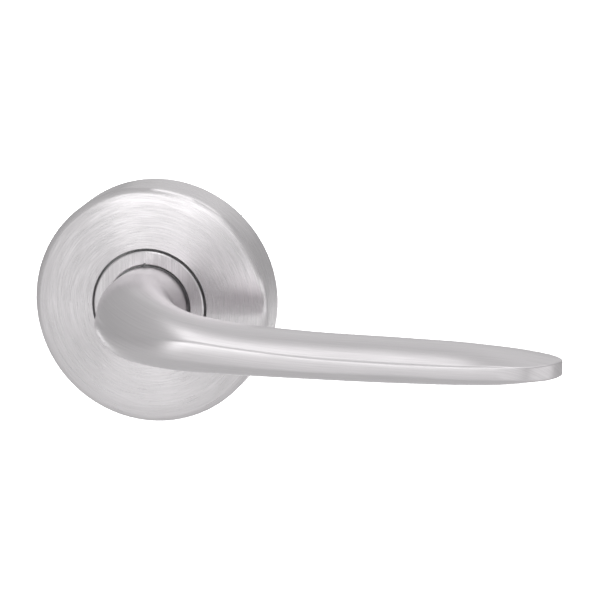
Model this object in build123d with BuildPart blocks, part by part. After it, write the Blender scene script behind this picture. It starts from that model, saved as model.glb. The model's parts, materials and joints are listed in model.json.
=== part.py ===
"""Lever handle on a round rose: one sprung half-set of a door lever, in millimetres.

The door face is the plane Y = 0 and the room is on the -Y side. The spindle axis is the Y
axis, +Z is up and the lever points to +X. "Height" below is the distance out from the door
face, towards the room, so negative heights lie inside the door.
"""
import os
from math import asin, cos, degrees, radians, sin

from build123d import *

# --- driving dimensions ------------------------------------------------------------------
# Rose cover and the ring around the lever's neck
ROSE_R = 32.5
ROSE_WALL = 1.5
ROSE_EDGE_HEIGHT = 12.0
ROSE_SHOULDER_R = 28.5
ROSE_SHOULDER_HEIGHT = 12.6
ROSE_CROWN_HEIGHT = 13.06
ROSE_CROWN_SAG = 0.1
ROSE_SHOULDER_ROUND = 18.0
ROSE_EDGE_ROUND = 2.0
ROSE_HOLE_R = 16.0
RING_OUTER_R = 15.3
RING_INNER_R = 11.5
RING_TOP = 13.7
RING_FLANGE_UNDERSIDE = 12.1
RING_SKIRT_END = 10.7
RING_SKIRT_R = 14.2
RING_EDGE_ROUND = 0.3
NOTCH_R = 0.6
NOTCH_ANGLE = 95.0

# Lever: a straight neck, a round elbow, and an arm parallel to the door
LEVER_BASE = 12.3
NECK_R = 11.0
ARM_HEIGHT = 45.0
ELBOW_R = 21.0
NECK_END = ARM_HEIGHT - ELBOW_R
ARM_HALF_DEPTH = 10.0
ARM_BULGE = 0.1
TIP_X = 119.9
TIP_START_X = 104.0
TIP_SIDE_PULL = 10.9
TIP_NOSE_PULL = 3.0
SOCKET_R = 8.6
SOCKET_END = 27.0

# Spring housing, mounting plate and what joins them to the door
PLATE_R = 30.6
PLATE_T = 2.5
HOUSING_R = 24.0
HOUSING_TOP = 10.6
HOUSING_ROUND = 0.8
SNOUT_R = 14.15
SNOUT_TOP = 12.0
CAVITY_R = 22.6
CAVITY_TOP = 9.0
HUB_R = 12.7
HUB_BOTTOM = 4.7
HUB_BORE_R = 10.5
SCREW_CIRCLE_R = 26.5
SCREW_COUNT = 4
SCREW_R = 1.45
SCREW_HEAD_R = 2.8
SCREW_HEAD_T = 1.4
SCREW_TIP = 8.2
SCREW_HOLE_SPARE = 0.3
SCREW_CROSS_LENGTH = 2.6
SCREW_CROSS_WIDTH = 0.7
SCREW_CROSS_DEPTH = 0.9
BOSS_R = 3.5
FIT_GAP = 0.05
POST_SPACING = 38.0
POST_R = 4.0
POST_LENGTH = 25.0
POST_NECK_R = 3.0
POST_HEAD_R = 3.6
POST_HEAD_T = 0.7
POST_TAP_R = 1.65
POST_TAP_DEPTH = 20.0
SPIGOT_R = 26.7
SPIGOT_WALL = 2.2
SPIGOT_DEPTH = 6.0
SPIGOT_LEAD_IN = 0.5
PEG_R = 1.2
PEG_COUNT = 4
PEG_ROOT = 1.0

# Turning parts
TUBE_R = 8.5
TUBE_END = 26.8
CAM_BOTTOM = 2.9
CAM_TOP = 4.1
CAM_R = 12.0
CAM_EAR_R = 16.0
CAM_EAR_HALF_WIDTH = 3.2
CAM_LUG_INNER_R = 16.3
CAM_LUG_OUTER_R = 18.3
CAM_LUG_HALF_WIDTH = 1.8
LUG_TOP = 8.6
TAIL_R = 7.0
TAIL_END = -3.0
TAIL_RUNNING_GAP = 0.1
SPINDLE_SIDE = 8.0
SPINDLE_FROM = -60.0
SPINDLE_TO = 20.0
SPINDLE_LEAD_IN = 0.8
PIN_R = 1.25
PIN_HEIGHT = 8.0
PIN_END_GAP = 0.1
GRUB_R = 2.5
GRUB_HEIGHT = 17.5
GRUB_LENGTH = 4.0
GRUB_TIP_Z = -6.6
GRUB_HEX = 2.5
GRUB_CHAMFER = 0.5
TURN_LIMIT = 45.0
STOP_MARGIN = 2.0
STOP_PIN_R = 1.5
STOP_CIRCLE_R = 14.2
STOP_TOP = 3.9

# Return spring
SPRING_R = 14.3
WIRE_R = 0.7
SPRING_START_HEIGHT = 5.15
SPRING_PITCH = 1.55
LEG_ANGLE = 9.0
LEG_END_R = 21.4
FIXED_LUG_INNER_R = 19.0
FIXED_LUG_OUTER_R = 21.0
FIXED_LUG_HALF_WIDTH = 2.2
FIXED_LUG_BOTTOM = 4.5

# Small rings and washers
CLIP_GROOVE_R = 6.4
CLIP_R = 8.6
CLIP_T = 0.9
CLIP_TOP = -1.0
CLIP_GAP_HALF_WIDTH = 3.0
DISC_SPRING_T = 0.4
WASHER_EDGE = 1.0
O_RING_WIRE_R = 0.45
O_RING_GROOVE_R = 13.3
O_RING_HEIGHT = 11.35
O_RING_GROOVE_HALF_WIDTH = 0.5
SNAP_WIRE_R = 0.55
SNAP_R = 30.75
SNAP_HEIGHT = 1.25
SNAP_GROOVE = 1.3
SNAP_GROOVE_DEPTH = 0.5
PLATE_GROOVE_DEPTH = 0.7
CUT_SPARE = 1.0
SNAP_TURN = 330.0

NEAR = 0.1
SIX_O_CLOCK = -90.0
TWELVE_O_CLOCK = 90.0

os.makedirs("parts", exist_ok=True)


# --- helpers -------------------------------------------------------------------------------
def room_plane(height):
    """The plane at this height above the door face, looking to the room, with Z as its Y."""
    return Plane(origin=(0, -height, 0), x_dir=(1, 0, 0), z_dir=(0, -1, 0))


def profile(*outline):
    """A closed outline of (radius, height) points beside the spindle axis, for a revolve."""
    with BuildSketch(Plane.XY) as section:
        with BuildLine():
            Polyline(*[(radius, -height) for radius, height in outline], close=True)
        make_face()
    return section.sketch


def ring_profile(inner, outer, low, high):
    """The rectangular section of a flat ring."""
    return profile((inner, low), (outer, low), (outer, high), (inner, high))


def wire_profile(ring_radius, height, wire_radius):
    """The round section of a wire ring."""
    with BuildSketch(Plane.XY) as section:
        with Locations((ring_radius, -height)):
            Circle(wire_radius)
    return section.sketch


def disc(radius, height):
    """A circle about the spindle axis."""
    with BuildSketch(room_plane(height)) as sketch:
        Circle(radius)
    return sketch.sketch


def discs_around(radius, height, circle_radius, count, start_angle=0.0):
    """Equal circles, evenly spaced around the spindle axis."""
    with BuildSketch(room_plane(height)) as sketch:
        with PolarLocations(circle_radius, count, start_angle):
            Circle(radius)
    return sketch.sketch


def square(side, height):
    """A square about the spindle axis."""
    with BuildSketch(room_plane(height)) as sketch:
        Rectangle(side, side)
    return sketch.sketch


def radial_bar(inner, outer, half_width, angle, height):
    """A bar that lies along a radius, between two radii."""
    with BuildSketch(room_plane(height)) as sketch:
        with PolarLocations((inner + outer) / 2, 1, angle):
            Rectangle(outer - inner, 2 * half_width)
    return sketch.sketch


def finish(builder, name):
    """Label a piece and write its file."""
    builder.part.label = name
    export_step(builder.part, f"parts/{name}.step")


# --- lever -----------------------------------------------------------------------------------
def lever_section(turn, run, half, top, bottom, mid, band, bulge):
    """One section of the lever, square to its centre line.

    The centre line is straight to NECK_END, turns through 90 degrees and runs along +X.
    turn is how far it has turned; run is the height on the neck or X on the arm. The section
    has a front and a back band of height 2 x band about mid, and a crown above and below.
    """
    angle = radians(turn)
    outwards = Vector(-cos(angle), -sin(angle), 0)
    if turn == 0:
        centre = Vector(0, -run, 0)
    elif turn == 90:
        centre = Vector(run, -ARM_HEIGHT, 0)
    else:
        centre = Vector(ELBOW_R * (1 - cos(angle)), -NECK_END - ELBOW_R * sin(angle), 0)
    plane = Plane(origin=centre, x_dir=outwards, z_dir=outwards.cross(Vector(0, 0, 1)))
    with BuildSketch(plane) as section:
        with BuildLine():
            ThreePointArc((half, mid + band), (0, top), (-half, mid + band))
            ThreePointArc((-half, mid + band), (-half - bulge, mid), (-half, mid - band))
            ThreePointArc((-half, mid - band), (0, bottom), (half, mid - band))
            ThreePointArc((half, mid - band), (half + bulge, mid), (half, mid + band))
        make_face()
    return section.sketch


def lever_sections():
    """The sections from the neck's base, round the elbow and out along the arm."""
    depth = ARM_HALF_DEPTH
    return [
        lever_section(0, LEVER_BASE, 10.57, NECK_R, -NECK_R, 0.0, 3.03, 0.4),
        lever_section(0, 17.0, 10.4, 11.3, -10.8, -0.2, 2.5, 0.4),
        lever_section(0, NECK_END, 10.3, 11.6, -10.4, -0.4, 2.0, 0.45),
        lever_section(25, 0, 10.6, 11.4, -9.7, -0.6, 1.9, 0.45),
        lever_section(45, 0, 10.5, 10.1, -8.9, -0.8, 2.1, 0.4),
        lever_section(67, 0, 10.2, 8.0, -8.6, -0.9, 2.4, 0.35),
        lever_section(90, ELBOW_R, depth, 6.0, -8.7, -1.1, 2.7, 0.3),
        lever_section(90, 34.0, depth, 4.3, -8.8, -2.0, 2.5, 0.2),
        lever_section(90, 50.0, depth, 3.5, -8.7, -2.8, 2.1, ARM_BULGE),
        lever_section(90, 78.0, depth, 3.2, -8.3, -2.8, 1.7, ARM_BULGE),
        lever_section(90, 95.0, depth, 2.8, -7.65, -2.6, 1.85, ARM_BULGE),
        lever_section(90, 106.0, depth, 1.85, -6.8, -2.1, 1.85, ARM_BULGE),
        lever_section(90, 115.0, depth, 0.5, -5.15, -2.15, 1.15, ARM_BULGE),
        lever_section(90, 124.0, depth, -0.4, -3.0, -2.55, 0.7, ARM_BULGE),
    ]


def lever_plan():
    """The lever seen from above: straight sides that curve in to a blunt, rounded tip."""
    far_x = -3 * NECK_R
    half_depth = ARM_HALF_DEPTH + ARM_BULGE
    front = -ARM_HEIGHT - half_depth
    back = -ARM_HEIGHT + half_depth
    with BuildSketch(Plane.XY.offset(-2 * NECK_R)) as plan:
        with BuildLine():
            Bezier((TIP_START_X, front), (TIP_START_X + TIP_SIDE_PULL, front),
                   (TIP_X, -ARM_HEIGHT - TIP_NOSE_PULL), (TIP_X, -ARM_HEIGHT))
            Bezier((TIP_X, -ARM_HEIGHT), (TIP_X, -ARM_HEIGHT + TIP_NOSE_PULL),
                   (TIP_START_X + TIP_SIDE_PULL, back), (TIP_START_X, back))
            Polyline((TIP_START_X, back), (TIP_START_X, 0), (far_x, 0), (far_x, 2 * front),
                     (TIP_START_X, 2 * front), (TIP_START_X, front))
        make_face()
    return plan.sketch


def grub_hole(radius, from_z, depth):
    """A round column that runs down from from_z at the grub screw's place, under the neck."""
    with BuildSketch(Plane.XY.offset(from_z - depth)) as sketch:
        with Locations((0, -GRUB_HEIGHT)):
            Circle(radius)
    return sketch.sketch


with BuildPart() as lever_handle:
    loft(lever_sections())
    extrude(lever_plan(), amount=4 * NECK_R, mode=Mode.INTERSECT)
    extrude(disc(SOCKET_R, LEVER_BASE), amount=SOCKET_END - LEVER_BASE, mode=Mode.SUBTRACT)
    extrude(grub_hole(GRUB_R + FIT_GAP, -SOCKET_R + 1, NECK_R), amount=NECK_R, mode=Mode.SUBTRACT)
finish(lever_handle, "lever_handle")

# --- rose cover: a crowned shell with a round edge, snapped over the mounting plate -----------
with BuildPart() as rose_cover:
    with BuildSketch(Plane.XY) as rose_section:
        with BuildLine() as rose_outline:
            Line((ROSE_R, 0), (ROSE_R, -ROSE_EDGE_HEIGHT))
            Line((ROSE_R, -ROSE_EDGE_HEIGHT), (ROSE_SHOULDER_R, -ROSE_SHOULDER_HEIGHT))
            middle_r = (ROSE_SHOULDER_R + ROSE_HOLE_R) / 2
            middle_height = (ROSE_SHOULDER_HEIGHT + ROSE_CROWN_HEIGHT) / 2 + ROSE_CROWN_SAG
            ThreePointArc((ROSE_SHOULDER_R, -ROSE_SHOULDER_HEIGHT), (middle_r, -middle_height),
                          (ROSE_HOLE_R, -ROSE_CROWN_HEIGHT))
            Line((ROSE_HOLE_R, -ROSE_CROWN_HEIGHT), (ROSE_HOLE_R, -ROSE_CROWN_HEIGHT + ROSE_WALL))
            ThreePointArc((ROSE_HOLE_R, -ROSE_CROWN_HEIGHT + ROSE_WALL),
                          (middle_r, -middle_height + ROSE_WALL),
                          (ROSE_SHOULDER_R, -ROSE_SHOULDER_HEIGHT + ROSE_WALL))
            Line((ROSE_SHOULDER_R, -ROSE_SHOULDER_HEIGHT + ROSE_WALL),
                 (ROSE_R - ROSE_WALL, -ROSE_EDGE_HEIGHT + ROSE_WALL))
            Line((ROSE_R - ROSE_WALL, -ROSE_EDGE_HEIGHT + ROSE_WALL), (ROSE_R - ROSE_WALL, 0))
            Line((ROSE_R - ROSE_WALL, 0), (ROSE_R, 0))
        make_face()
        rim_corners = rose_section.vertices().group_by(Axis.X)[-1]
        fillet(rim_corners.sort_by(Axis.Y)[0], ROSE_EDGE_ROUND)
        shoulders = rose_section.vertices().filter_by(lambda v: abs(v.X - ROSE_SHOULDER_R) < NEAR)
        fillet(shoulders.sort_by(Axis.Y)[0], ROSE_SHOULDER_ROUND)
    revolve(axis=Axis.Y)
    groove_low = SNAP_HEIGHT - SNAP_GROOVE / 2
    groove_high = SNAP_HEIGHT + SNAP_GROOVE / 2
    revolve(ring_profile(ROSE_R - ROSE_WALL - CUT_SPARE, ROSE_R - ROSE_WALL + SNAP_GROOVE_DEPTH,
                         groove_low, groove_high), axis=Axis.Y, mode=Mode.SUBTRACT)
finish(rose_cover, "rose_cover")

# --- trim ring: a flange that shows and a skirt that grips the housing's snout ----------------
with BuildPart() as trim_ring:
    revolve(profile((RING_INNER_R, RING_FLANGE_UNDERSIDE), (RING_INNER_R, RING_TOP),
                    (RING_OUTER_R, RING_TOP), (RING_OUTER_R, RING_SKIRT_END),
                    (RING_SKIRT_R, RING_SKIRT_END), (RING_SKIRT_R, RING_FLANGE_UNDERSIDE)),
            axis=Axis.Y)
    chamfer(trim_ring.edges().filter_by(GeomType.CIRCLE).group_by(Axis.Y)[0], RING_EDGE_ROUND)
    extrude(discs_around(NOTCH_R, RING_FLANGE_UNDERSIDE, RING_INNER_R, 1, NOTCH_ANGLE),
            amount=RING_TOP, mode=Mode.SUBTRACT)
finish(trim_ring, "trim_ring")

with BuildPart() as ring_o_ring:
    revolve(wire_profile(RING_SKIRT_R - O_RING_WIRE_R, O_RING_HEIGHT, O_RING_WIRE_R), axis=Axis.Y)
finish(ring_o_ring, "ring_o_ring")

# --- mounting plate, with the posts, pins, snap ring and bore adaptor that it carries ---------
stop_angle = TURN_LIMIT + STOP_MARGIN + degrees(asin((CAM_EAR_HALF_WIDTH + STOP_PIN_R) / STOP_CIRCLE_R))
peg_circle_r = SPIGOT_R - SPIGOT_WALL / 2


def stop_pin_circles(radius, height):
    """Two circles, one each side of twelve o'clock, where the lever's stops stand."""
    return discs_around(radius, height, STOP_CIRCLE_R, 1, TWELVE_O_CLOCK - stop_angle) + discs_around(
        radius, height, STOP_CIRCLE_R, 1, TWELVE_O_CLOCK + stop_angle)


with BuildPart() as mounting_plate:
    extrude(disc(PLATE_R, 0), amount=PLATE_T)
    extrude(disc(TAIL_R + TAIL_RUNNING_GAP, 0), amount=PLATE_T, mode=Mode.SUBTRACT)
    extrude(discs_around(POST_NECK_R, 0, POST_SPACING / 2, 2), amount=PLATE_T, mode=Mode.SUBTRACT)
    extrude(discs_around(PEG_R, 0, peg_circle_r, PEG_COUNT), amount=PLATE_T, mode=Mode.SUBTRACT)
    extrude(stop_pin_circles(STOP_PIN_R, 0), amount=PLATE_T, mode=Mode.SUBTRACT)
    revolve(ring_profile(PLATE_R - PLATE_GROOVE_DEPTH, PLATE_R + CUT_SPARE, groove_low, groove_high),
            axis=Axis.Y, mode=Mode.SUBTRACT)
    with Locations(Plane(origin=(0, 0, 0), x_dir=(1, 0, 0), z_dir=(0, 1, 0))):
        with PolarLocations(SCREW_CIRCLE_R, SCREW_COUNT, 45):
            CounterSinkHole(SCREW_R + FIT_GAP, SCREW_HEAD_R + FIT_GAP, depth=PLATE_T)
finish(mounting_plate, "mounting_plate")

with BuildPart() as stop_pins:
    extrude(stop_pin_circles(STOP_PIN_R, 0), amount=STOP_TOP)
finish(stop_pins, "stop_pins")

for side, post_name in ((-1, "mounting_post_left"), (1, "mounting_post_right")):
    with BuildPart() as mounting_post:
        with BuildSketch(room_plane(-POST_LENGTH)):
            with Locations((side * POST_SPACING / 2, 0)):
                Circle(POST_R)
        extrude(amount=POST_LENGTH)
        with BuildSketch(room_plane(0)):
            with Locations((side * POST_SPACING / 2, 0)):
                Circle(POST_NECK_R)
        extrude(amount=PLATE_T)
        with BuildSketch(room_plane(PLATE_T)):
            with Locations((side * POST_SPACING / 2, 0)):
                Circle(POST_HEAD_R)
        extrude(amount=POST_HEAD_T)
        with BuildSketch(room_plane(-POST_LENGTH)):
            with Locations((side * POST_SPACING / 2, 0)):
                Circle(POST_TAP_R)
        extrude(amount=POST_TAP_DEPTH, mode=Mode.SUBTRACT)
    finish(mounting_post, post_name)

with BuildPart() as rose_snap_ring:
    revolve(wire_profile(SNAP_R, SNAP_HEIGHT, SNAP_WIRE_R), axis=Axis.Y, revolution_arc=SNAP_TURN)
finish(rose_snap_ring, "rose_snap_ring")

with BuildPart() as bore_adaptor:
    extrude(disc(SPIGOT_R, -SPIGOT_DEPTH), amount=SPIGOT_DEPTH)
    extrude(disc(SPIGOT_R - SPIGOT_WALL, -SPIGOT_DEPTH), amount=SPIGOT_DEPTH, mode=Mode.SUBTRACT)
    extrude(discs_around(PEG_R, -PEG_ROOT, peg_circle_r, PEG_COUNT), amount=PLATE_T + PEG_ROOT)
    inner_end_edges = bore_adaptor.edges().filter_by(GeomType.CIRCLE).group_by(Axis.Y)[-1]
    chamfer(inner_end_edges.sort_by(SortBy.LENGTH)[-1], SPIGOT_LEAD_IN)
finish(bore_adaptor, "bore_adaptor")

# --- spring housing, its screws and the neck bush ----------------------------------------------
with BuildPart() as spring_housing:
    revolve(profile((HOUSING_R, PLATE_T), (HOUSING_R, HOUSING_TOP), (SNOUT_R, HOUSING_TOP),
                    (SNOUT_R, SNOUT_TOP), (HUB_BORE_R, SNOUT_TOP), (HUB_BORE_R, HUB_BOTTOM),
                    (HUB_R, HUB_BOTTOM), (HUB_R, CAVITY_TOP), (CAVITY_R, CAVITY_TOP),
                    (CAVITY_R, PLATE_T)), axis=Axis.Y)
    fillet(spring_housing.edges().filter_by(GeomType.CIRCLE).filter_by(
        lambda e: e.radius > HOUSING_R - NEAR).sort_by(Axis.Y)[0], HOUSING_ROUND)
    extrude(discs_around(BOSS_R, PLATE_T, SCREW_CIRCLE_R, SCREW_COUNT, 45),
            amount=CAVITY_TOP - PLATE_T)
    extrude(radial_bar(FIXED_LUG_INNER_R, FIXED_LUG_OUTER_R, FIXED_LUG_HALF_WIDTH, SIX_O_CLOCK,
                       FIXED_LUG_BOTTOM), amount=CAVITY_TOP - FIXED_LUG_BOTTOM)
    extrude(discs_around(SCREW_R + FIT_GAP, PLATE_T, SCREW_CIRCLE_R, SCREW_COUNT, 45),
            amount=SCREW_TIP - PLATE_T + SCREW_HOLE_SPARE, mode=Mode.SUBTRACT)
    revolve(ring_profile(O_RING_GROOVE_R, SNOUT_R + CUT_SPARE, O_RING_HEIGHT - O_RING_GROOVE_HALF_WIDTH,
                         O_RING_HEIGHT + O_RING_GROOVE_HALF_WIDTH), axis=Axis.Y, mode=Mode.SUBTRACT)
finish(spring_housing, "spring_housing")

with BuildPart() as housing_screws:
    for angle in (45, 135, 225, 315):
        place = Plane(origin=(SCREW_CIRCLE_R * cos(radians(angle)), 0,
                              SCREW_CIRCLE_R * sin(radians(angle))), x_dir=(1, 0, 0), z_dir=(0, -1, 0))
        with BuildSketch(place.offset(FIT_GAP)):
            Circle(SCREW_HEAD_R)
        with BuildSketch(place.offset(SCREW_HEAD_T)):
            Circle(SCREW_R)
        loft()
        with BuildSketch(place.offset(SCREW_HEAD_T)):
            Circle(SCREW_R)
        extrude(amount=SCREW_TIP - SCREW_HEAD_T)
        with BuildSketch(place):
            Rectangle(SCREW_CROSS_LENGTH, SCREW_CROSS_WIDTH)
            Rectangle(SCREW_CROSS_WIDTH, SCREW_CROSS_LENGTH)
        extrude(amount=SCREW_CROSS_DEPTH, mode=Mode.SUBTRACT)
finish(housing_screws, "housing_screws")

with BuildPart() as neck_bush:
    revolve(profile((TUBE_R + FIT_GAP, HUB_BOTTOM), (HUB_BORE_R, HUB_BOTTOM),
                    (HUB_BORE_R, SNOUT_TOP), (NECK_R, SNOUT_TOP), (NECK_R, LEVER_BASE - FIT_GAP),
                    (TUBE_R + FIT_GAP, LEVER_BASE - FIT_GAP)), axis=Axis.Y)
finish(neck_bush, "neck_bush")

# --- drive tube: cam plate, spring lug, stop ear and square socket in one piece ----------------
with BuildPart() as drive_tube:
    extrude(disc(CAM_R, CAM_BOTTOM), amount=CAM_TOP - CAM_BOTTOM)
    extrude(radial_bar(0, CAM_LUG_OUTER_R, CAM_LUG_HALF_WIDTH, SIX_O_CLOCK, CAM_BOTTOM),
            amount=CAM_TOP - CAM_BOTTOM)
    extrude(radial_bar(0, CAM_EAR_R, CAM_EAR_HALF_WIDTH, TWELVE_O_CLOCK, CAM_BOTTOM),
            amount=CAM_TOP - CAM_BOTTOM)
    extrude(radial_bar(CAM_LUG_INNER_R, CAM_LUG_OUTER_R, CAM_LUG_HALF_WIDTH, SIX_O_CLOCK,
                       CAM_BOTTOM), amount=LUG_TOP - CAM_BOTTOM)
    extrude(disc(TUBE_R, CAM_BOTTOM), amount=TUBE_END - CAM_BOTTOM)
    extrude(disc(TAIL_R, TAIL_END), amount=CAM_TOP - TAIL_END)
    extrude(square(SPINDLE_SIDE + 2 * FIT_GAP, TAIL_END), amount=SPINDLE_TO - TAIL_END,
            mode=Mode.SUBTRACT)
    revolve(ring_profile(CLIP_GROOVE_R, TAIL_R + CUT_SPARE, CLIP_TOP - CLIP_T - FIT_GAP,
                         CLIP_TOP + FIT_GAP), axis=Axis.Y, mode=Mode.SUBTRACT)
    with BuildSketch(Plane.YZ.offset(-TUBE_R)):
        with Locations((-PIN_HEIGHT, 0)):
            Circle(PIN_R)
    extrude(amount=2 * TUBE_R, mode=Mode.SUBTRACT)
    extrude(grub_hole(GRUB_R + FIT_GAP, GRUB_TIP_Z, TUBE_R), amount=TUBE_R, mode=Mode.SUBTRACT)
finish(drive_tube, "drive_tube")

with BuildPart() as spindle:
    extrude(square(SPINDLE_SIDE, SPINDLE_FROM), amount=SPINDLE_TO - SPINDLE_FROM)
    chamfer(spindle.faces().filter_by(Axis.Y).edges(), SPINDLE_LEAD_IN)
    with BuildSketch(Plane.YZ.offset(-TUBE_R)):
        with Locations((-PIN_HEIGHT, 0)):
            Circle(PIN_R)
    extrude(amount=2 * TUBE_R, mode=Mode.SUBTRACT)
finish(spindle, "spindle")

with BuildPart() as spindle_pin:
    with BuildSketch(Plane.YZ.offset(-TUBE_R + PIN_END_GAP)):
        with Locations((-PIN_HEIGHT, 0)):
            Circle(PIN_R)
    extrude(amount=2 * (TUBE_R - PIN_END_GAP))
finish(spindle_pin, "spindle_pin")

with BuildPart() as grub_screw:
    extrude(grub_hole(GRUB_R, GRUB_TIP_Z, GRUB_LENGTH), amount=GRUB_LENGTH)
    with BuildSketch(Plane.XY.offset(GRUB_TIP_Z - GRUB_LENGTH)):
        with Locations((0, -GRUB_HEIGHT)):
            RegularPolygon(GRUB_HEX / 2, 6, major_radius=False)
    extrude(amount=GRUB_LENGTH / 2, mode=Mode.SUBTRACT)
    chamfer(grub_screw.faces().sort_by(Axis.Z)[-1].edges(), GRUB_CHAMFER)
finish(grub_screw, "grub_screw")

# --- washers and circlip --------------------------------------------------------------------------
with BuildPart() as thrust_washer:
    revolve(ring_profile(TUBE_R + FIT_GAP, HUB_R - WASHER_EDGE, CAM_TOP + FIT_GAP, HUB_BOTTOM - FIT_GAP),
            axis=Axis.Y)
finish(thrust_washer, "thrust_washer")

with BuildPart() as back_washer:
    revolve(ring_profile(TAIL_R + TAIL_RUNNING_GAP, CAM_R - WASHER_EDGE, PLATE_T, CAM_BOTTOM - FIT_GAP),
            axis=Axis.Y)
finish(back_washer, "back_washer")

with BuildPart() as disc_spring:
    revolve(profile((TAIL_R + 2 * FIT_GAP, CLIP_TOP), (TAIL_R + 2 * FIT_GAP, CLIP_TOP + DISC_SPRING_T),
                    (CAM_R - WASHER_EDGE, -FIT_GAP), (CAM_R - WASHER_EDGE, -FIT_GAP - DISC_SPRING_T)),
            axis=Axis.Y)
finish(disc_spring, "disc_spring")

with BuildPart() as drive_circlip:
    extrude(disc(CLIP_R, CLIP_TOP - CLIP_T), amount=CLIP_T)
    extrude(disc(CLIP_GROOVE_R, CLIP_TOP - CLIP_T), amount=CLIP_T, mode=Mode.SUBTRACT)
    extrude(radial_bar(0, 2 * CLIP_R, CLIP_GAP_HALF_WIDTH, SIX_O_CLOCK, CLIP_TOP - CLIP_T),
            amount=CLIP_T, mode=Mode.SUBTRACT)
finish(drive_circlip, "drive_circlip")

# --- return spring: nearly two turns round the hub, its legs either side of the two lugs ----------
spring_turns = 2 - 2 * LEG_ANGLE / 360
spring_rise = spring_turns * SPRING_PITCH


def spring_leg(angle, height):
    """The section of one leg's wire, on the plane at the coil that looks out along the leg."""
    direction = Vector(cos(radians(angle)), 0, sin(radians(angle)))
    with BuildSketch(Plane(origin=direction * SPRING_R + Vector(0, -height, 0), z_dir=direction)) as leg:
        Circle(WIRE_R)
    return leg.sketch


with BuildLine() as coil:
    Helix(SPRING_PITCH, spring_rise, SPRING_R, center=(0, -SPRING_START_HEIGHT, 0), direction=(0, -1, 0))
coil_path = coil.line.rotate(Axis.Y, -LEG_ANGLE)

with BuildPart() as return_spring:
    with BuildSketch(Plane(origin=coil_path @ 0, z_dir=coil_path % 0)):
        Circle(WIRE_R)
    sweep(path=coil_path, is_frenet=True)
    for leg_angle, end in ((SIX_O_CLOCK + LEG_ANGLE, 0), (SIX_O_CLOCK - LEG_ANGLE, 1)):
        extrude(spring_leg(leg_angle, -(coil_path @ end).Y), amount=LEG_END_R - SPRING_R)
        with Locations(coil_path @ end):
            Sphere(WIRE_R)
finish(return_spring, "return_spring")
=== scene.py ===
import json
import math

import bmesh
import bpy
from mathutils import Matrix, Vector


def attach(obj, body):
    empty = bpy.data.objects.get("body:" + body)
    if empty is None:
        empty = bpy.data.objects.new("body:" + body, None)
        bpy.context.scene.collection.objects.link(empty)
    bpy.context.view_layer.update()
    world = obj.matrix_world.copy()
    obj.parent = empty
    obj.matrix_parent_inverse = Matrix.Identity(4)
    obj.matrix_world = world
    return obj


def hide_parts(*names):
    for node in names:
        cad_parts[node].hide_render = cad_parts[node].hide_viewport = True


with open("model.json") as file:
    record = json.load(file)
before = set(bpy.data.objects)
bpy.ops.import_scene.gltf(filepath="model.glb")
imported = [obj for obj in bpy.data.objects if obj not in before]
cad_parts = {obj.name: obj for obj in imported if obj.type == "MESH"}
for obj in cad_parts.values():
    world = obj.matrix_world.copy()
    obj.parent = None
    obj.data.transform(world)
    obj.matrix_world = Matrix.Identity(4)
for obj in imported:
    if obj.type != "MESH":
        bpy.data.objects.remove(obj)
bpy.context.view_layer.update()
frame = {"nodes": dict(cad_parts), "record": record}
MM = 0.001

# --- camera: a long lens, a little to the right of the spindle and a little above it ------------
CAMERA_AZIMUTH = math.radians(13.96)
CAMERA_ELEVATION = math.radians(13.46)
CAMERA_DISTANCE = 1.5
CAMERA_RIGHT = 0.03751
CAMERA_DOWN = 0.001234
LENS_MM = 331.0
SENSOR_MM = 36.0


def direction(azimuth, elevation):
    """The unit vector from the rose towards a place given by its azimuth and elevation."""
    flat = math.cos(elevation)
    return Vector((math.sin(azimuth) * flat, -math.cos(azimuth) * flat, math.sin(elevation)))


def make_camera():
    """The camera looks straight back along its direction, moved sideways to frame the lever."""
    back = direction(CAMERA_AZIMUTH, CAMERA_ELEVATION)
    right = Vector((math.cos(CAMERA_AZIMUTH), math.sin(CAMERA_AZIMUTH), 0))
    up = right.cross(-back)
    camera = bpy.data.objects.new("camera", bpy.data.cameras.new("camera"))
    bpy.context.scene.collection.objects.link(camera)
    camera.data.lens = LENS_MM
    camera.data.sensor_width = SENSOR_MM
    camera.rotation_mode = "QUATERNION"
    camera.rotation_quaternion = (-back).to_track_quat("-Z", "Y")
    camera.location = back * CAMERA_DISTANCE + right * CAMERA_RIGHT - up * CAMERA_DOWN
    camera.data.clip_start = 0.05
    camera.data.clip_end = 50.0
    bpy.context.scene.camera = camera


make_camera()

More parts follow.
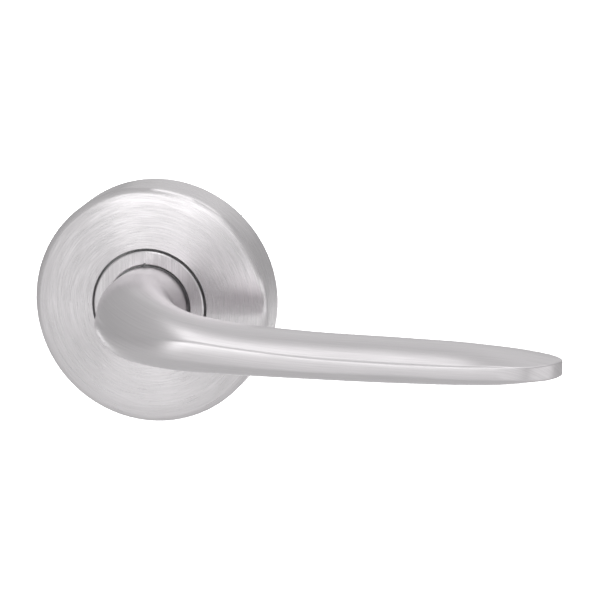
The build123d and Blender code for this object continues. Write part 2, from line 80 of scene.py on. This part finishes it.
# --- lever: one skin over the same sections as the CAD lever, with its creases rounded -----------
# Millimetres. Each row is: turn of the centre line in degrees; height on the neck or X on the arm;
# half depth; top; bottom; middle of the side bands; half height of the bands; bulge of the bands.
LEVER_BASE = 12.3
ARM_HEIGHT = 45.0
ELBOW_R = 21.0
NECK_END = ARM_HEIGHT - ELBOW_R
TIP_START_X = 104.0
TIP_X = 119.9
TIP_LENGTH = TIP_X - TIP_START_X
TIP_SIDE_PULL = 10.9 / TIP_LENGTH
TIP_NOSE_PULL = 3.0 / 10.1
SOCKET_R = 8.6
SOCKET_END = 27.0
GRUB_HEIGHT = 17.5
GRUB_HOLE_R = 2.55
GRUB_CUT_DEPTH = 6
GRUB_CUT_MIDDLE = 10.5
STATIONS = [
    (0, LEVER_BASE, 10.57, 11.0, -11.0, 0.0, 3.03, 0.4),
    (0, 17.0, 10.4, 11.3, -10.8, -0.2, 2.5, 0.4),
    (0, NECK_END, 10.3, 11.6, -10.4, -0.4, 2.0, 0.45),
    (25, 0, 10.6, 11.4, -9.7, -0.6, 1.9, 0.45),
    (45, 0, 10.5, 10.1, -8.9, -0.8, 2.1, 0.4),
    (67, 0, 10.2, 8.0, -8.6, -0.9, 2.4, 0.35),
    (90, ELBOW_R, 10.0, 6.0, -8.7, -1.1, 2.7, 0.3),
    (90, 34.0, 10.0, 4.3, -8.8, -2.0, 2.5, 0.2),
    (90, 50.0, 10.0, 3.5, -8.7, -2.8, 2.1, 0.1),
    (90, 78.0, 10.0, 3.2, -8.3, -2.8, 1.7, 0.1),
    (90, 95.0, 10.0, 2.8, -7.65, -2.6, 1.85, 0.1),
    (90, 106.0, 10.0, 1.85, -6.8, -2.1, 1.85, 0.1),
    (90, 115.0, 10.0, 0.5, -5.15, -2.15, 1.15, 0.1),
    (90, 124.0, 10.0, -0.4, -3.0, -2.55, 0.7, 0.1),
]
TIP_HALF_DEPTH = 10.1
CREASE = 0.45
RING_STEP = 0.75
TIP_RINGS = 34
CROWN_POINTS = 11
CREASE_POINTS = 6
BAND_POINTS = 5
SEAM_JUMP = 15
SHARP_ANGLE = math.radians(32)
NECK_LENGTH = NECK_END - LEVER_BASE
ELBOW_LENGTH = ELBOW_R * math.pi / 2


def travel(turn, run):
    """How far along the centre line a station stands, from the neck's base."""
    if turn == 0:
        return run - LEVER_BASE
    if turn == 90:
        return NECK_LENGTH + ELBOW_LENGTH + run - ELBOW_R
    return NECK_LENGTH + ELBOW_R * math.radians(turn)


def place_at(s):
    """The centre line's point and the section's outward direction at a travel s."""
    if s <= NECK_LENGTH:
        return Vector((0, -LEVER_BASE - s, 0)), Vector((-1, 0, 0))
    turn = min((s - NECK_LENGTH) / ELBOW_R, math.pi / 2)
    past = max(0.0, s - NECK_LENGTH - ELBOW_LENGTH)
    point = Vector((ELBOW_R * (1 - math.cos(turn)) + past, -NECK_END - ELBOW_R * math.sin(turn), 0))
    return point, Vector((-math.cos(turn), -math.sin(turn), 0))


STATION_AT = [travel(row[0], row[1]) for row in STATIONS]


def slope(i, column):
    """The rate at which a column of the table changes at station i."""
    if i in (0, len(STATIONS) - 1):
        j = max(i, 1)
        return (STATIONS[j][column] - STATIONS[j - 1][column]) / (STATION_AT[j] - STATION_AT[j - 1])
    before = STATION_AT[i] - STATION_AT[i - 1]
    after = STATION_AT[i + 1] - STATION_AT[i]
    rate_before = (STATIONS[i][column] - STATIONS[i - 1][column]) / before
    rate_after = (STATIONS[i + 1][column] - STATIONS[i][column]) / after
    return (rate_before * after + rate_after * before) / (before + after)


def section_at(s):
    """Half depth, top, bottom, middle, band and bulge at a travel s, on a smooth curve."""
    i = max(k for k in range(len(STATIONS) - 1) if STATION_AT[k] <= s or k == 0)
    width = STATION_AT[i + 1] - STATION_AT[i]
    t = (s - STATION_AT[i]) / width
    values = []
    for column in range(2, 8):
        a, b = STATIONS[i][column], STATIONS[i + 1][column]
        da, db = slope(i, column) * width, slope(i + 1, column) * width
        values.append((2 * t ** 3 - 3 * t ** 2 + 1) * a + (t ** 3 - 2 * t ** 2 + t) * da
                      + (3 * t ** 2 - 2 * t ** 3) * b + (t ** 3 - t ** 2) * db)
    return values


def arc_height(u, half, edge, crown):
    """Height at u of the arc from (half, edge) over (0, crown)."""
    rise = abs(crown - edge)
    radius = (half * half + rise * rise) / (2 * rise)
    sink = radius - math.sqrt(max(radius * radius - u * u, 0))
    return crown - math.copysign(sink, crown - edge)


def tip_along(t):
    """The share of the tip's length that its outline has run at t, from 0 at the side to 1."""
    return 3 * t * (1 - t) ** 2 * TIP_SIDE_PULL + 3 * t * t * (1 - t) + t ** 3


def tip_depth(x, inset):
    """How far the tip's outline, moved in by inset, reaches from the centre line at x."""
    along = (x - TIP_START_X) / (TIP_LENGTH - inset)
    if along <= 0:
        return TIP_HALF_DEPTH - inset
    if along >= 1:
        return 0.0
    low, high = 0.0, 1.0
    for _ in range(30):
        t = (low + high) / 2
        low, high = (t, high) if tip_along(t) < along else (low, t)
    share = (1 - t) ** 3 + 3 * t * (1 - t) ** 2 + 3 * t * t * (1 - t) * TIP_NOSE_PULL
    return (TIP_HALF_DEPTH - inset) * share


def crown_and_crease(x, half, edge, crown, corner_u, band_end):
    """Points from the middle of the crown or underside, over its rounded crease, to the band."""
    rise = abs(crown - edge)
    radius = (half * half + rise * rise) / (2 * rise)
    inset = CREASE * math.cos(math.asin(min(1.0, corner_u / radius)))
    start_u = corner_u - inset
    room = inset
    if x > TIP_START_X:
        start_u = max(0.0, min(start_u, tip_depth(x, inset)))
        room = min(inset, TIP_X - x)
    inner = (max(corner_u - inset, 0.0), arc_height(max(corner_u - inset, 0.0), half, edge, crown))
    corner = (corner_u, arc_height(corner_u, half, edge, crown))
    first = 1 - math.sqrt(room / inset)
    crease = []
    for k in range(CREASE_POINTS):
        t = first + (1 - first) * k / (CREASE_POINTS - 1)
        a, b, c = (1 - t) ** 2, 2 * t * (1 - t), t * t
        u, z = (a * p + b * q + c * r for p, q, r in zip(inner, corner, band_end))
        if corner_u < half:
            u = tip_depth(x, a * inset)
        crease.append((u, z))
    if start_u == 0.0:
        return [crease[0]] * CROWN_POINTS + crease
    angles = [k / CROWN_POINTS * math.pi / 2 for k in range(CROWN_POINTS)]
    across = [start_u * math.sin(a) for a in angles]
    return [(u, arc_height(u, half, edge, crown)) for u in across] + crease


def half_ring(s):
    """The front half of one section as (u, z) points, from the top to the bottom middle."""
    half, top, bottom, mid, band, bulge = section_at(s)
    x = s - NECK_LENGTH - ELBOW_LENGTH + ELBOW_R
    limit = tip_depth(x, 0) if x > TIP_START_X else half + bulge
    corner_u = min(half, limit)
    bulge = max(0.0, min(bulge, limit - corner_u))
    high = arc_height(corner_u, half, mid + band, top)
    low = arc_height(corner_u, half, mid - band, bottom)
    middle, reach = (high + low) / 2, (high - low) / 2
    if bulge > 1e-3:
        radius = (reach * reach + bulge * bulge) / (2 * bulge)
        spread = math.asin(reach / radius) * (1 - CREASE / reach)
        band_angles = [spread * (1 - 2 * k / (BAND_POINTS + 1)) for k in range(BAND_POINTS + 2)]
        band_line = [(corner_u + bulge - radius * (1 - math.cos(a)), middle + radius * math.sin(a))
                     for a in band_angles]
    else:
        spread = reach - CREASE
        band_line = [(corner_u, middle + spread * (1 - 2 * k / (BAND_POINTS + 1)))
                     for k in range(BAND_POINTS + 2)]
    upper = crown_and_crease(x, half, mid + band, top, corner_u, band_line[0])
    lower = crown_and_crease(x, half, mid - band, bottom, corner_u, band_line[-1])
    return upper + band_line[1:-1] + lower[::-1]


def ring_travels():
    """Where the sections of the skin stand: evenly to the tip, then closer and closer."""
    tip_start = travel(90, TIP_START_X)
    count = round(tip_start / RING_STEP)
    travels = [tip_start * k / count for k in range(count + 1)]
    for k in range(1, TIP_RINGS + 1):
        travels.append(tip_start + TIP_LENGTH * tip_along(k / TIP_RINGS))
    return travels


def skin_ring(mesh, s, uvs):
    """Add one closed ring of vertices, and note the place of each on the skin for its grain."""
    centre, outwards = place_at(s)
    side = half_ring(s)
    loop = side + [(-u, z) for u, z in side[-2:0:-1]]
    total = 0.0
    half_lengths = [0.0]
    for (u0, z0), (u1, z1) in zip(side, side[1:]):
        total += math.hypot(u1 - u0, z1 - z0)
        half_lengths.append(total)
    lengths = half_lengths + [-v for v in half_lengths[-2:0:-1]]
    ring = []
    for (u, z), across in zip(loop, lengths):
        vertex = mesh.verts.new((centre + outwards * u + Vector((0, 0, z))) * MM)
        uvs[vertex] = (s * MM, across * MM)
        ring.append(vertex)
    return ring


def bridge(mesh, ring_a, ring_b):
    """Faces between two rings of the same count."""
    count = len(ring_a)
    return [mesh.faces.new((ring_a[k], ring_a[(k + 1) % count], ring_b[(k + 1) % count], ring_b[k]))
            for k in range(count)]


def round_ring(mesh, like, radius, height, uvs):
    """A circle about the spindle axis whose vertices face those of the ring like."""
    ring = []
    for other in like:
        angle = math.atan2(other.co.z, other.co.x)
        spot = Vector((radius * math.cos(angle), -height, radius * math.sin(angle)))
        vertex = mesh.verts.new(spot * MM)
        uvs[vertex] = (-(SOCKET_END - height) * MM, radius * angle * MM)
        ring.append(vertex)
    return ring


def lever_mesh():
    """The whole closed skin: outside, base face, socket and the socket's end."""
    mesh = bmesh.new()
    uvs = {}
    rings = [skin_ring(mesh, s, uvs) for s in ring_travels()]
    for ring_a, ring_b in zip(rings, rings[1:]):
        bridge(mesh, ring_b, ring_a)
    socket = [round_ring(mesh, rings[0], SOCKET_R, height, uvs)
              for height in (LEVER_BASE, GRUB_HEIGHT, SOCKET_END)]
    bridge(mesh, rings[0], socket[0])
    bridge(mesh, socket[0], socket[1])
    bridge(mesh, socket[1], socket[2])
    mesh.faces.new(socket[2][::-1])
    layer = mesh.loops.layers.uv.new("grain")
    for face in mesh.faces:
        face.smooth = True
        spots = [uvs[loop.vert] for loop in face.loops]
        wraps = max(v for _, v in spots) - min(v for _, v in spots) > SEAM_JUMP * MM
        for loop, (along, across) in zip(face.loops, spots):
            loop[layer].uv = (along, abs(across) if wraps else across)
    bmesh.ops.remove_doubles(mesh, verts=mesh.verts, dist=0.002 * MM)
    bmesh.ops.dissolve_degenerate(mesh, edges=mesh.edges, dist=0.001 * MM)
    bmesh.ops.recalc_face_normals(mesh, faces=mesh.faces)
    data = bpy.data.meshes.new("lever_skin")
    mesh.to_mesh(data)
    mesh.free()
    return data


def make_lever():
    """The lever's skin with the grub screw's hole cut through the underside of its neck."""
    lever = bpy.data.objects.new("lever_skin", lever_mesh())
    bpy.context.scene.collection.objects.link(lever)
    cutter_mesh = bmesh.new()
    bmesh.ops.create_cone(cutter_mesh, cap_ends=True, segments=48, radius1=GRUB_HOLE_R * MM,
                          radius2=GRUB_HOLE_R * MM, depth=GRUB_CUT_DEPTH * MM)
    bmesh.ops.translate(cutter_mesh, verts=cutter_mesh.verts,
                        vec=(0, -GRUB_HEIGHT * MM, -GRUB_CUT_MIDDLE * MM))
    cutter_data = bpy.data.meshes.new("grub_cutter")
    cutter_mesh.to_mesh(cutter_data)
    cutter_mesh.free()
    cutter = bpy.data.objects.new("grub_cutter", cutter_data)
    bpy.context.scene.collection.objects.link(cutter)
    cut = lever.modifiers.new("grub_hole", "BOOLEAN")
    cut.operation = "DIFFERENCE"
    cut.solver = "EXACT"
    cut.object = cutter
    bpy.context.view_layer.update()
    evaluated = lever.evaluated_get(bpy.context.evaluated_depsgraph_get())
    finished = bpy.data.meshes.new_from_object(evaluated)
    lever.modifiers.clear()
    lever.data = finished
    bpy.data.objects.remove(cutter)
    lever.data.set_sharp_from_angle(angle=SHARP_ANGLE)
    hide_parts("lever_handle")
    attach(lever, "lever_assembly")
    return lever


lever_skin = make_lever()


# --- node helpers -------------------------------------------------------------------------------
class Nodes:
    """A small wrapper that adds shader nodes and links them by name.

    A keyword that starts with _ sets a property; one such as i0 names an input by its number;
    any other names an input, with _ for a space.
    """

    def __init__(self, tree):
        self.tree = tree

    def add(self, kind, **inputs):
        """A new node of this kind, with its properties and inputs set."""
        node = self.tree.nodes.new(kind)
        for key, value in inputs.items():
            if key.startswith("_"):
                setattr(node, key[1:], value)
            else:
                self.put(node, key.replace("_", " "), value)
        return node

    def put(self, node, name, value):
        """Link a socket or a node's first output to an input, or set the input's own value."""
        numbered = name[0] == "i" and name[1:].isdigit()
        socket = node.inputs[int(name[1:])] if numbered else node.inputs[name]
        if isinstance(value, bpy.types.NodeSocket):
            self.tree.links.new(value, socket)
        elif isinstance(value, bpy.types.Node):
            self.tree.links.new(value.outputs[0], socket)
        else:
            socket.default_value = value

    def math(self, operation, a, b=0.0):
        """One sum of two values."""
        return self.add("ShaderNodeMath", _operation=operation, i0=a, i1=b)

    def remap(self, value, from_low, from_high, to_low, to_high):
        """A value moved from one range to another, and kept inside it."""
        return self.add("ShaderNodeMapRange", Value=value, From_Min=from_low, From_Max=from_high,
                        To_Min=to_low, To_Max=to_high)

    def noise(self, vector, scale, detail, roughness):
        """Smooth noise from 0 to 1."""
        node = self.add("ShaderNodeTexNoise", Vector=vector, Scale=scale, Detail=detail,
                        Roughness=roughness)
        return node.outputs["Fac"]

    def blend(self, factor, first, second):
        """A mix of two colours, each a list of three numbers or another node's output."""
        node = self.add("ShaderNodeMix", _data_type="RGBA", i0=factor)
        colours = [socket for socket in node.inputs if socket.type == "RGBA"]
        for socket, colour in zip(colours, (first, second)):
            if isinstance(colour, bpy.types.NodeSocket):
                self.tree.links.new(colour, socket)
            else:
                socket.default_value = (*colour, 1)
        return next(socket for socket in node.outputs if socket.type == "RGBA")


def new_material(name, metallic):
    """A material with its node helper and its shader."""
    material = bpy.data.materials.new(name)
    material.use_nodes = True
    shader = material.node_tree.nodes["Principled BSDF"]
    shader.inputs["Metallic"].default_value = metallic
    return material, Nodes(material.node_tree), shader


def shades(colour, spread):
    """A darker and a lighter shade of one colour."""
    return [c * (1 - spread) for c in colour], [min(1.0, c * (1 + spread)) for c in colour]


# --- brushed metals: streaks that follow the brush, in tone, roughness and bump --------------------
# How far the marks sway the tone, roughness and bump where depth is 1, and their height in metres.
MARK_TONE = 0.055
MARK_ROUGHNESS = 0.03
MARK_BUMP = 0.12
MARK_HEIGHT = 0.00003
# Broader marks lie among the fine ones: their scale and their share of the whole.
COARSE_SCALE = 0.17
COARSE_SHARE = 0.2
# The part of the noise's range that is spread over the whole sway.
NOISE_LOW = 0.3
NOISE_HIGH = 0.7
# A quarter turn, which spreads the gloss across the marks instead of along them.
ACROSS_THE_BRUSH = 0.25
# How close the marks stand, per metre across them and per metre or radian along them.
ROSE_MARKS_ACROSS = 4200.0
ROSE_MARKS_ROUND = 4.0
RING_MARKS = (3400.0, 3400.0, 90.0)
ARM_MARKS = (75.0, 3000.0, 1.0)
# The marks fade out between these two places on the way from the arm to the neck.
FADE_FROM_Y = -0.040
FADE_TO_Y = -0.028
NECK_STRENGTH = 0.1


def brushed(name, colour, roughness, anisotropic, depth, grain, tangent, strength=None):
    """Satin metal. grain(nodes) gives coordinates whose first component runs along the brush, and
    strength(nodes), where it is given, how strongly the marks show, from 0 to 1."""
    material, n, shader = new_material(name, 1.0)
    along = grain(n)
    fine = n.noise(along, 1.0, 2.0, 0.5)
    broader = n.add("ShaderNodeVectorMath", _operation="SCALE", i0=along, Scale=COARSE_SCALE)
    coarse = n.noise(broader, 1.0, 2.0, 0.5)
    streaks = n.math("ADD", n.math("MULTIPLY", fine, 1 - COARSE_SHARE),
                     n.math("MULTIPLY", coarse, COARSE_SHARE))
    if strength:
        streaks = n.math("ADD", n.math("MULTIPLY", n.math("SUBTRACT", streaks, 0.5), strength(n)), 0.5)
    dark, light = shades(colour, MARK_TONE * depth)
    n.put(shader, "Base Color", n.blend(n.remap(streaks, NOISE_LOW, NOISE_HIGH, 0.0, 1.0), dark, light))
    sway = MARK_ROUGHNESS * depth
    n.put(shader, "Roughness", n.remap(streaks, NOISE_LOW, NOISE_HIGH, roughness + sway, roughness - sway))
    shader.inputs["Anisotropic"].default_value = anisotropic
    shader.inputs["Anisotropic Rotation"].default_value = ACROSS_THE_BRUSH
    n.put(shader, "Tangent", tangent(n))
    n.put(shader, "Normal", n.add("ShaderNodeBump", Strength=MARK_BUMP * depth,
                                  Distance=MARK_HEIGHT, Height=streaks))
    return material


def ring_grain(n):
    """Coordinates that run round the spindle axis, for marks turned in circles."""
    split = n.add("ShaderNodeSeparateXYZ", Vector=n.add("ShaderNodeTexCoord").outputs["Object"])
    radius = n.math("SQRT", n.math("ADD", n.math("MULTIPLY", split.outputs["X"], split.outputs["X"]),
                                   n.math("MULTIPLY", split.outputs["Z"], split.outputs["Z"])))
    angle = n.math("ARCTAN2", split.outputs["Z"], split.outputs["X"])
    return n.add("ShaderNodeCombineXYZ", X=n.math("MULTIPLY", angle, ROSE_MARKS_ROUND),
                 Y=n.math("MULTIPLY", radius, ROSE_MARKS_ACROSS),
                 Z=n.math("MULTIPLY", split.outputs["Y"], ROSE_MARKS_ACROSS))


def ring_tangent(n):
    """The direction along the marks on the rose: round the spindle axis."""
    return n.add("ShaderNodeTangent", _direction_type="RADIAL", _axis="Y")


def upright_grain(n):
    """Coordinates that run up and down, for marks brushed straight across the ring."""
    place = n.add("ShaderNodeTexCoord").outputs["Object"]
    return n.add("ShaderNodeMapping", Vector=place, Scale=RING_MARKS).outputs["Vector"]


def upright_tangent(n):
    """The direction along the marks on the ring: straight up."""
    return n.add("ShaderNodeCombineXYZ", X=0.0, Y=0.0, Z=1.0)


def arm_grain(n):
    """Coordinates that run along the lever, from the map laid over its skin."""
    place = n.add("ShaderNodeUVMap", _uv_map="grain")
    return n.add("ShaderNodeMapping", Vector=place, Scale=ARM_MARKS).outputs["Vector"]


def arm_tangent(n):
    """The direction along the marks on the lever: along its arm."""
    return n.add("ShaderNodeTangent", _direction_type="UV_MAP", _uv_map="grain")


def arm_strength(n):
    """The neck is polished finer than the arm: the marks fade out towards the rose."""
    split = n.add("ShaderNodeSeparateXYZ", Vector=n.add("ShaderNodeTexCoord").outputs["Object"])
    return n.remap(split.outputs["Y"], FADE_FROM_Y, FADE_TO_Y, 1.0, NECK_STRENGTH)


SATIN = (0.80, 0.776, 0.792)
# The same satin made lighter: painted light, which makes the rose and the ring brighter than the lamps
# light them.
SATIN_WITH_PAINTED_LIGHT = (0.85, 0.826, 0.842)
lever_metal = brushed("lever_satin_chrome", SATIN, roughness=0.33, anisotropic=0.5, depth=1.0,
                      grain=arm_grain, tangent=arm_tangent, strength=arm_strength)
# The rose and the ring take the lighter satin, whose extra brightness is painted light.
rose_metal = brushed("rose_satin_chrome", SATIN_WITH_PAINTED_LIGHT, roughness=0.25, anisotropic=0.97, depth=1.5,
                     grain=ring_grain, tangent=ring_tangent)
ring_metal = brushed("ring_satin_chrome", SATIN_WITH_PAINTED_LIGHT, roughness=0.30, anisotropic=0.8, depth=1.7,
                     grain=upright_grain, tangent=upright_tangent)


# --- plain metals, plastics and rubber: cast, plated, drawn or moulded, with worn edges -------------
# Each row is: name; metallic; colour; colour of worn edges; roughness; grain per metre; bump; mottling.
WORN_FINISHES = [
    ("cast_zinc", 1.0, (0.50, 0.505, 0.51), (0.68, 0.68, 0.68), 0.52, 2600.0, 0.7, 0.08),
    ("plated_steel", 1.0, (0.64, 0.655, 0.67), (0.78, 0.78, 0.77), 0.30, 4200.0, 0.15, 0.08),
    ("spring_steel", 1.0, (0.33, 0.335, 0.35), (0.52, 0.52, 0.52), 0.28, 5200.0, 0.2, 0.08),
    ("black_steel", 0.8, (0.035, 0.035, 0.038), (0.22, 0.21, 0.20), 0.42, 5200.0, 0.2, 0.08),
    ("acetal", 0.0, (0.80, 0.79, 0.75), (0.84, 0.83, 0.80), 0.38, 3000.0, 0.15, 0.03),
    ("nylon", 0.0, (0.010, 0.010, 0.011), (0.02, 0.02, 0.022), 0.62, 6000.0, 0.5, 0.08),
    ("nitrile", 0.0, (0.012, 0.012, 0.012), (0.02, 0.02, 0.02), 0.62, 5000.0, 0.4, 0.08),
]
PATCHES_PER_METRE = 140.0
WORN_EDGE = 0.0003
WORN_SHINE = 0.08
GRAIN_SWAY = 0.06
GRAIN_HEIGHT = 0.00005
NYLON_SHINE = 0.15


def edge_wear(n):
    """0 on a flat and up to 1 along a sharp edge, from how far the rounded normal leans away."""
    rounded = n.add("ShaderNodeBevel", _samples=4, Radius=WORN_EDGE)
    plain = n.add("ShaderNodeNewGeometry").outputs["Normal"]
    dot = n.add("ShaderNodeVectorMath", _operation="DOT_PRODUCT", i0=rounded.outputs["Normal"], i1=plain)
    return n.remap(dot.outputs["Value"], 0.995, 0.86, 0.0, 1.0).outputs["Result"]


def worn(name, metallic, colour, edge_colour, roughness, grain_scale, bump, mottling):
    """A surface with a fine grain, patches of tone and edges rubbed to edge_colour."""
    material, n, shader = new_material(name, metallic)
    place = n.add("ShaderNodeTexCoord").outputs["Object"]
    grain = n.noise(place, grain_scale, 5.0, 0.6)
    patches = n.noise(place, PATCHES_PER_METRE, 3.0, 0.5)
    dark, light = shades(colour, mottling)
    body = n.blend(n.remap(patches, NOISE_LOW, NOISE_HIGH, 0.0, 1.0), dark, light)
    wear = n.math("MULTIPLY", edge_wear(n), n.remap(grain, 0.35, 0.6, 0.35, 1.0))
    n.put(shader, "Base Color", n.blend(wear, body, edge_colour))
    varied = n.remap(grain, NOISE_LOW, NOISE_HIGH, roughness - GRAIN_SWAY, roughness + GRAIN_SWAY)
    n.put(shader, "Roughness", n.math("SUBTRACT", varied, n.math("MULTIPLY", wear, WORN_SHINE)))
    n.put(shader, "Normal", n.add("ShaderNodeBump", Strength=bump, Distance=GRAIN_HEIGHT, Height=grain))
    return material


MATERIALS = {
    "lever_satin_chrome": lever_metal,
    "rose_satin_chrome": rose_metal,
    "ring_satin_chrome": ring_metal,
}
for finish in WORN_FINISHES:
    MATERIALS[finish[0]] = worn(*finish)
# The nylon bush shows only as a dark line round the neck, so it has little shine.
nylon_shader = MATERIALS["nylon"].node_tree.nodes["Principled BSDF"]
nylon_shader.inputs["Specular IOR Level"].default_value = NYLON_SHINE


def dress_all():
    """Give each carried-over piece the finish that the record names for it."""
    for part in frame["record"]["subparts"]:
        target = lever_skin if part["node"] == "lever_handle" else frame["nodes"][part["node"]]
        target.data.materials.clear()
        target.data.materials.append(MATERIALS[part["material_slot"]])


dress_all()


# --- floor and lights -----------------------------------------------------------------------------
FLOOR_LEVEL = -0.40
FLOOR_HALF_WIDTH = 8.0
SOFTBOX_DISTANCE = 1.5
SPOT_PLACE = (-0.5, 2.0, 1.6)
SPOT_CONE = math.radians(52)
SPOT_STRETCH = (1.0, 1.7, 1.0)
SPOT_POWER = 320
# Each row is: name; azimuth and elevation in degrees; width and height in metres; power in watts.
SOFTBOXES = [
    ("front", -24, -10, (0.5, 0.5), 0.36),
    ("front_upper", -14, 7, (0.55, 0.55), 1.15),
    ("front_mid", 8, 22, (0.6, 0.7), 0.95),
    ("low_front", 14, -8, (1.0, 0.5), 0.8),
    ("high_front", 24, 48, (1.2, 0.55), 1.2),
    ("overhead", 0, 82, (0.7, 0.8), 1.75),
    ("high_right", 120, 64, (0.6, 0.6), 0.85),
    ("right", 68, -5, (1.4, 0.6), 1.4),
    ("behind", 180, 32, (1.3, 1.2), 1.1),
]


def make_floor():
    """A wide, plain, nearly white floor."""
    grid = bmesh.new()
    bmesh.ops.create_grid(grid, x_segments=4, y_segments=4, size=FLOOR_HALF_WIDTH)
    bmesh.ops.translate(grid, verts=grid.verts, vec=(0, 0, FLOOR_LEVEL))
    mesh = bpy.data.meshes.new("floor")
    grid.to_mesh(mesh)
    grid.free()
    floor = bpy.data.objects.new("floor", mesh)
    bpy.context.scene.collection.objects.link(floor)
    material, _, shader = new_material("floor", 0.0)
    shader.inputs["Base Color"].default_value = (0.86, 0.86, 0.86, 1)
    shader.inputs["Roughness"].default_value = 0.9
    mesh.materials.append(material)


def softbox(name, azimuth, elevation, size, power):
    """A rectangular area light that looks at the rose, placed by its direction from the rose."""
    data = bpy.data.lights.new(name, "AREA")
    data.shape = "RECTANGLE"
    data.size, data.size_y = size
    data.energy = power
    light = bpy.data.objects.new(name, data)
    bpy.context.scene.collection.objects.link(light)
    towards = direction(math.radians(azimuth), math.radians(elevation))
    light.location = towards * SOFTBOX_DISTANCE
    light.rotation_mode = "QUATERNION"
    light.rotation_quaternion = (-towards).to_track_quat("-Z", "Y")


def floor_spot():
    """A spot over the floor behind the object, whose cone leaves the object out."""
    data = bpy.data.lights.new("floor_spot", "SPOT")
    data.energy = SPOT_POWER
    data.spot_size = SPOT_CONE
    data.spot_blend = 0.4
    data.shadow_soft_size = 0.1
    light = bpy.data.objects.new("floor_spot", data)
    bpy.context.scene.collection.objects.link(light)
    light.location = SPOT_PLACE
    light.scale = SPOT_STRETCH


def soft_sky(level, front, top):
    """A plain white sky, a little brighter in front and overhead than behind."""
    world = bpy.data.worlds.new("world")
    bpy.context.scene.world = world
    world.use_nodes = True
    n = Nodes(world.node_tree)
    split = n.add("ShaderNodeSeparateXYZ", Vector=n.add("ShaderNodeTexCoord").outputs["Generated"])
    forwards = n.math("MULTIPLY", split.outputs["Y"], -1.0)
    ahead = n.math("MULTIPLY", n.math("MAXIMUM", forwards, 0.0), front)
    above = n.math("MULTIPLY", n.math("MAXIMUM", split.outputs["Z"], 0.0), top)
    background = world.node_tree.nodes["Background"]
    background.inputs["Color"].default_value = (1, 1, 1, 1)
    n.put(background, "Strength", n.math("ADD", n.math("ADD", ahead, above), level))


make_floor()
for row in SOFTBOXES:
    softbox(*row)
floor_spot()
soft_sky(level=0.42, front=0.05, top=0.10)
bpy.context.scene.view_settings.view_transform = "Standard"
